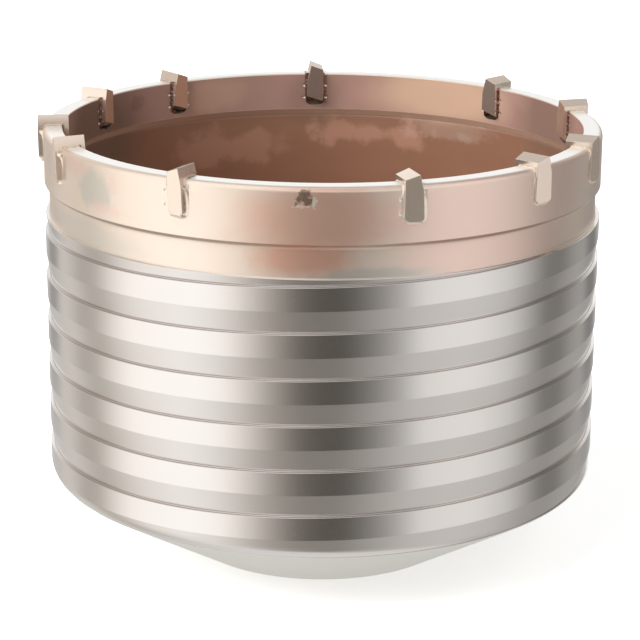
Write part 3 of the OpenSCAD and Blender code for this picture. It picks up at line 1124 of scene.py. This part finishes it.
# Soft boxes and dark cards that metal sees round the cutter, and those that it sees in the floor:
# degrees from the front, + to the right, light level and warmth
CARDS = (
    (-180, 0.66, 0.0), (-160, 0.66, 0.03), (-146, 0.64, 0.06), (-134, 0.74, 0.08),
    (-126, 0.68, 0.1), (-117, 0.48, 0.12), (-106, 0.52, 0.12), (-94, 0.98, 0.08),
    (-84, 1.25, 0.04), (-52, 1.3, 0.0), (-40, 1.22, 0.04), (-32, 0.9, 0.08), (-21, 0.47, 0.12),
    (-10, 0.17, 0.16), (0, 0.1, 0.2), (10, 0.095, 0.16), (21, 0.25, 0.06), (32, 0.5, 0.03),
    (42, 0.92, 0.0), (66, 0.95, 0.0), (84, 0.72, 0.0), (92, 0.5, 0.03), (104, 0.2, 0.08),
    (116, 0.21, 0.08), (126, 0.37, 0.06), (138, 0.43, 0.04), (150, 0.4, 0.04), (158, 0.45, 0.04),
    (166, 0.66, 0.0))
FLOOR_CARDS = (
    (-180, 0.74, 0.0), (-157, 0.74, 0.04), (-136, 0.72, 0.08), (-126, 0.67, 0.1),
    (-110, 0.54, 0.12), (-98, 0.72, 0.1), (-85, 0.94, 0.06), (-64, 1.12, 0.02), (-50, 1.0, 0.02),
    (-40, 0.8, 0.06), (-30, 0.55, 0.1), (-21, 0.37, 0.12), (-10, 0.24, 0.14), (0, 0.21, 0.14),
    (10, 0.23, 0.12), (21, 0.37, 0.06), (32, 0.5, 0.04), (42, 0.63, 0.02), (64, 0.68, 0.02),
    (85, 0.61, 0.03), (100, 0.45, 0.06), (115, 0.4, 0.06), (136, 0.46, 0.06), (147, 0.5, 0.04),
    (157, 0.56, 0.04), (170, 0.7, 0.0))
# Share of a card's warmth that its green loses. Its blue loses all of it
WARM_GREEN = 0.4
# Height, as the Z of a direction, at which the cards give way to those in the floor
FLOOR_LINE = (-0.38, -0.54)
# Zones laid over the cards: colour, share, and the axis and limits of each fade into the zone
ZONES = (
    # Floor close to the cutter
    ((0.62, 0.6, 0.57), 0.3, (("Z", -0.57, -0.7),)),
    # Floor right below
    ((0.8, 0.8, 0.8), 1.0, (("Z", -0.75, -0.95),)),
    # Dark gap at the far end of the floor
    ((0.0, 0.0, 0.0), 0.5,
     (("Y", 0.7, 0.79), ("Y", 0.92, 0.86), ("Z", -0.35, -0.27), ("Z", 0.1, -0.1))),
    # Bright box over the front
    ((1.05, 1.05, 1.05), 1.0, (("Y", 0.0, -0.3), ("Z", 0.08, 0.28))),
    # Bright box over the back
    ((1.2, 1.2, 1.2), 1.0, (("Y", 0.6, 0.85), ("Z", 0.19, 0.235), ("Z", 0.5, 0.36))))
# Dim round spots overhead: direction of the middle, and closeness to it at which the fade starts
SPOTS = (((0.0, 0.545, 0.84), 0.9), ((0.22, -0.6, 0.77), 0.88))
SPOT_FADE = 0.07
SPOT_LEVEL = 0.5
# Lamps at the front left and right, and the point that they look at
KEY_PLACE = (-0.7, -0.5, 0.9)
FILL_PLACE = (0.8, -0.3, 0.7)
LAMP_AIM = (0, 0, 0.05)
# Floor: two levels of its clouds, their softness and scale, its roughness, and the glow that only
# the camera sees
FLOOR_LEVELS = (0.9, 0.88)
FLOOR_SOFTNESS = 0.3
FLOOR_SCALE = 20.0
FLOOR_ROUGH = 0.9
FLOOR_GLOW = 0.5
# Nearest distance that the camera sees
CLIP = 0.01


def card_ramp(nodes, turn, cards):
    """Colour of the cards at a turn from 0 at the left of the back to 1 at its right."""
    ramp = nodes.add("ShaderNodeValToRGB", {0: turn})
    stops = ramp.color_ramp.elements
    while len(stops) > 1:
        stops.remove(stops[0])
    for i, (degrees, level, warmth) in enumerate(cards):
        place = degrees / 360 + 0.5
        stop = stops[0] if i == 0 else stops.new(place)
        stop.position = place
        stop.color = rgba((level, level * (1 - WARM_GREEN * warmth), level * (1 - warmth)))
    return ramp.outputs[0]


def studio_world(stage):
    """White to the camera. Metal sees the cards, and all else gets even light."""
    world = bpy.data.worlds.new("studio")
    bpy.context.scene.world = world
    world.use_nodes = True
    world.node_tree.nodes.clear()
    nodes = Nodes(world.node_tree)
    way = nodes.add("ShaderNodeTexCoord").outputs["Generated"]
    axes = nodes.add("ShaderNodeSeparateXYZ", {0: way}).outputs
    turn = nodes.math("ARCTAN2", axes["X"], nodes.times(axes["Y"], -1.0))
    turn = nodes.math("MULTIPLY_ADD", turn, 1 / FULL_TURN, 0.5)
    light = nodes.mix(nodes.fade(axes["Z"], *FLOOR_LINE), card_ramp(nodes, turn, CARDS),
                      card_ramp(nodes, turn, FLOOR_CARDS))
    for level, amount, limits in ZONES:
        fades = [nodes.fade(axes[axis], start, full) for axis, start, full in limits]
        light = nodes.mix(nodes.times(amount, *fades), light, rgba(level))
    for toward, width in SPOTS:
        close = nodes.vector("DOT_PRODUCT", "Value", way, toward)
        spot = nodes.fade(close, width, width + SPOT_FADE)
        light = nodes.mix(spot, light, grey(SPOT_LEVEL))
    rays = nodes.add("ShaderNodeLightPath").outputs
    light = nodes.mix(rays["Is Glossy Ray"], grey(stage.room), light)
    light = nodes.mix(rays["Is Camera Ray"], light, grey(1.0))
    ground = nodes.add("ShaderNodeBackground", {"Color": light})
    nodes.add("ShaderNodeOutputWorld", {"Surface": ground.outputs[0]}, is_active_output=True)


def floor(stage):
    """Pale floor that is white to the camera where no shadow falls, and clear from below."""
    half = stage.floor_size / 2
    mesh = bmesh.new()
    corners = ((-half, -half, 0), (half, -half, 0), (half, half, 0), (-half, half, 0))
    mesh.faces.new([mesh.verts.new(corner) for corner in corners])
    made = placed("floor", mesh_data("floor", mesh))
    made.visible_glossy = False
    paper, nodes, shader = material("floor_paper", 0.0)
    first, second = FLOOR_LEVELS
    clouds = {"First": grey(first), "Second": grey(second), "Share": 0.5,
              "Softness": FLOOR_SOFTNESS, "Scale": FLOOR_SCALE}
    seen = nodes.add("ShaderNodeLightPath").outputs["Is Camera Ray"]
    nodes.fill(shader, {
        "Base Color": nodes.use(blotch_group(), clouds)["Colour"], "Roughness": FLOOR_ROUGH,
        "Emission Color": grey(1.0), "Emission Strength": nodes.times(seen, FLOOR_GLOW)})
    clear = nodes.add("ShaderNodeBsdfTransparent")
    below = nodes.add("ShaderNodeNewGeometry").outputs["Backfacing"]
    sides = {0: below, 1: shader.outputs[0], 2: clear.outputs[0]}
    both = nodes.add("ShaderNodeMixShader", sides).outputs[0]
    nodes.fill(paper.node_tree.nodes["Material Output"], {"Surface": both})
    made.data.materials.append(paper)


def lamp(name, place, size, power):
    """Square soft box aimed at the cutter, which metal doesn't see."""
    data = bpy.data.lights.new(name, "AREA")
    data.size = size
    data.energy = power
    made = placed(name, data)
    made.location = place
    made.rotation_euler = (Vector(LAMP_AIM) - Vector(place)).to_track_quat("-Z", "Y").to_euler()
    made.visible_glossy = False


def camera(stage):
    """Camera at the photograph's angle."""
    data = bpy.data.cameras.new("camera")
    data.sensor_width = stage.sensor
    data.lens = stage.lens
    data.clip_start = CLIP
    data.shift_x = (PICTURE / 2 - stage.aim_x) / PICTURE
    data.shift_y = (stage.aim_y - PICTURE / 2) / PICTURE
    made = placed("camera", data)
    back = Vector((0, -math.cos(stage.elevation), math.sin(stage.elevation)))
    place = Matrix.Translation(Vector((0, 0, stage.aim_h)) + back * stage.distance)
    look = Matrix.Rotation(math.pi / 2 - stage.elevation, 4, "X")
    made.matrix_world = place @ look @ Matrix.Rotation(stage.roll, 4, "Z")
    bpy.context.scene.camera = made


class CUTTER_OT_stage(bpy.types.Operator):
    """Set up the camera, the floor and the light"""

    bl_idname = "cutter.stage"
    bl_label = "Stage"

    def execute(self, context):
        stage = context.scene.cutter_stage
        camera(stage)
        floor(stage)
        studio_world(stage)
        lamp("key", KEY_PLACE, stage.lamp_size, stage.key)
        lamp("fill", FILL_PLACE, stage.lamp_size, stage.fill)
        context.scene.view_settings.view_transform = "Standard"
        return {"FINISHED"}


class CUTTER_PT_panel(bpy.types.Panel):
    """Buttons and sizes of the cutter"""

    bl_label = "Core Cutter Head"
    bl_idname = "CUTTER_PT_panel"
    bl_space_type = "VIEW_3D"
    bl_region_type = "UI"
    bl_category = "Cutter"

    def draw(self, context):
        layout = self.layout
        for operator in OPERATORS:
            layout.operator(operator.bl_idname)
        for name in SETTINGS:
            group_of = getattr(context.scene, name)
            box = layout.box()
            box.label(text=group_of.__class__.__doc__)
            for key in group_of.__annotations__:
                box.prop(group_of, key)


SETTINGS = {"cutter_cup": CutterCup, "cutter_tips": CutterTips, "cutter_braze": CutterBraze,
            "cutter_finish": CutterFinish, "cutter_stage": CutterStage}
OPERATORS = (CUTTER_OT_stage, CUTTER_OT_cup, CUTTER_OT_tips, CUTTER_OT_braze)


def register():
    for name, kind in SETTINGS.items():
        bpy.utils.register_class(kind)
        setattr(bpy.types.Scene, name, PointerProperty(type=kind))
    for kind in (*OPERATORS, CUTTER_PT_panel):
        bpy.utils.register_class(kind)


def unregister():
    for kind in (CUTTER_PT_panel, *reversed(OPERATORS)):
        bpy.utils.unregister_class(kind)
    for name, kind in reversed(SETTINGS.items()):
        delattr(bpy.types.Scene, name)
        bpy.utils.unregister_class(kind)


def main():
    register()
    bpy.ops.cutter.stage()
    bpy.ops.cutter.cup()
    bpy.ops.cutter.tips()
    bpy.ops.cutter.braze()


if __name__ == "__main__":
    main()
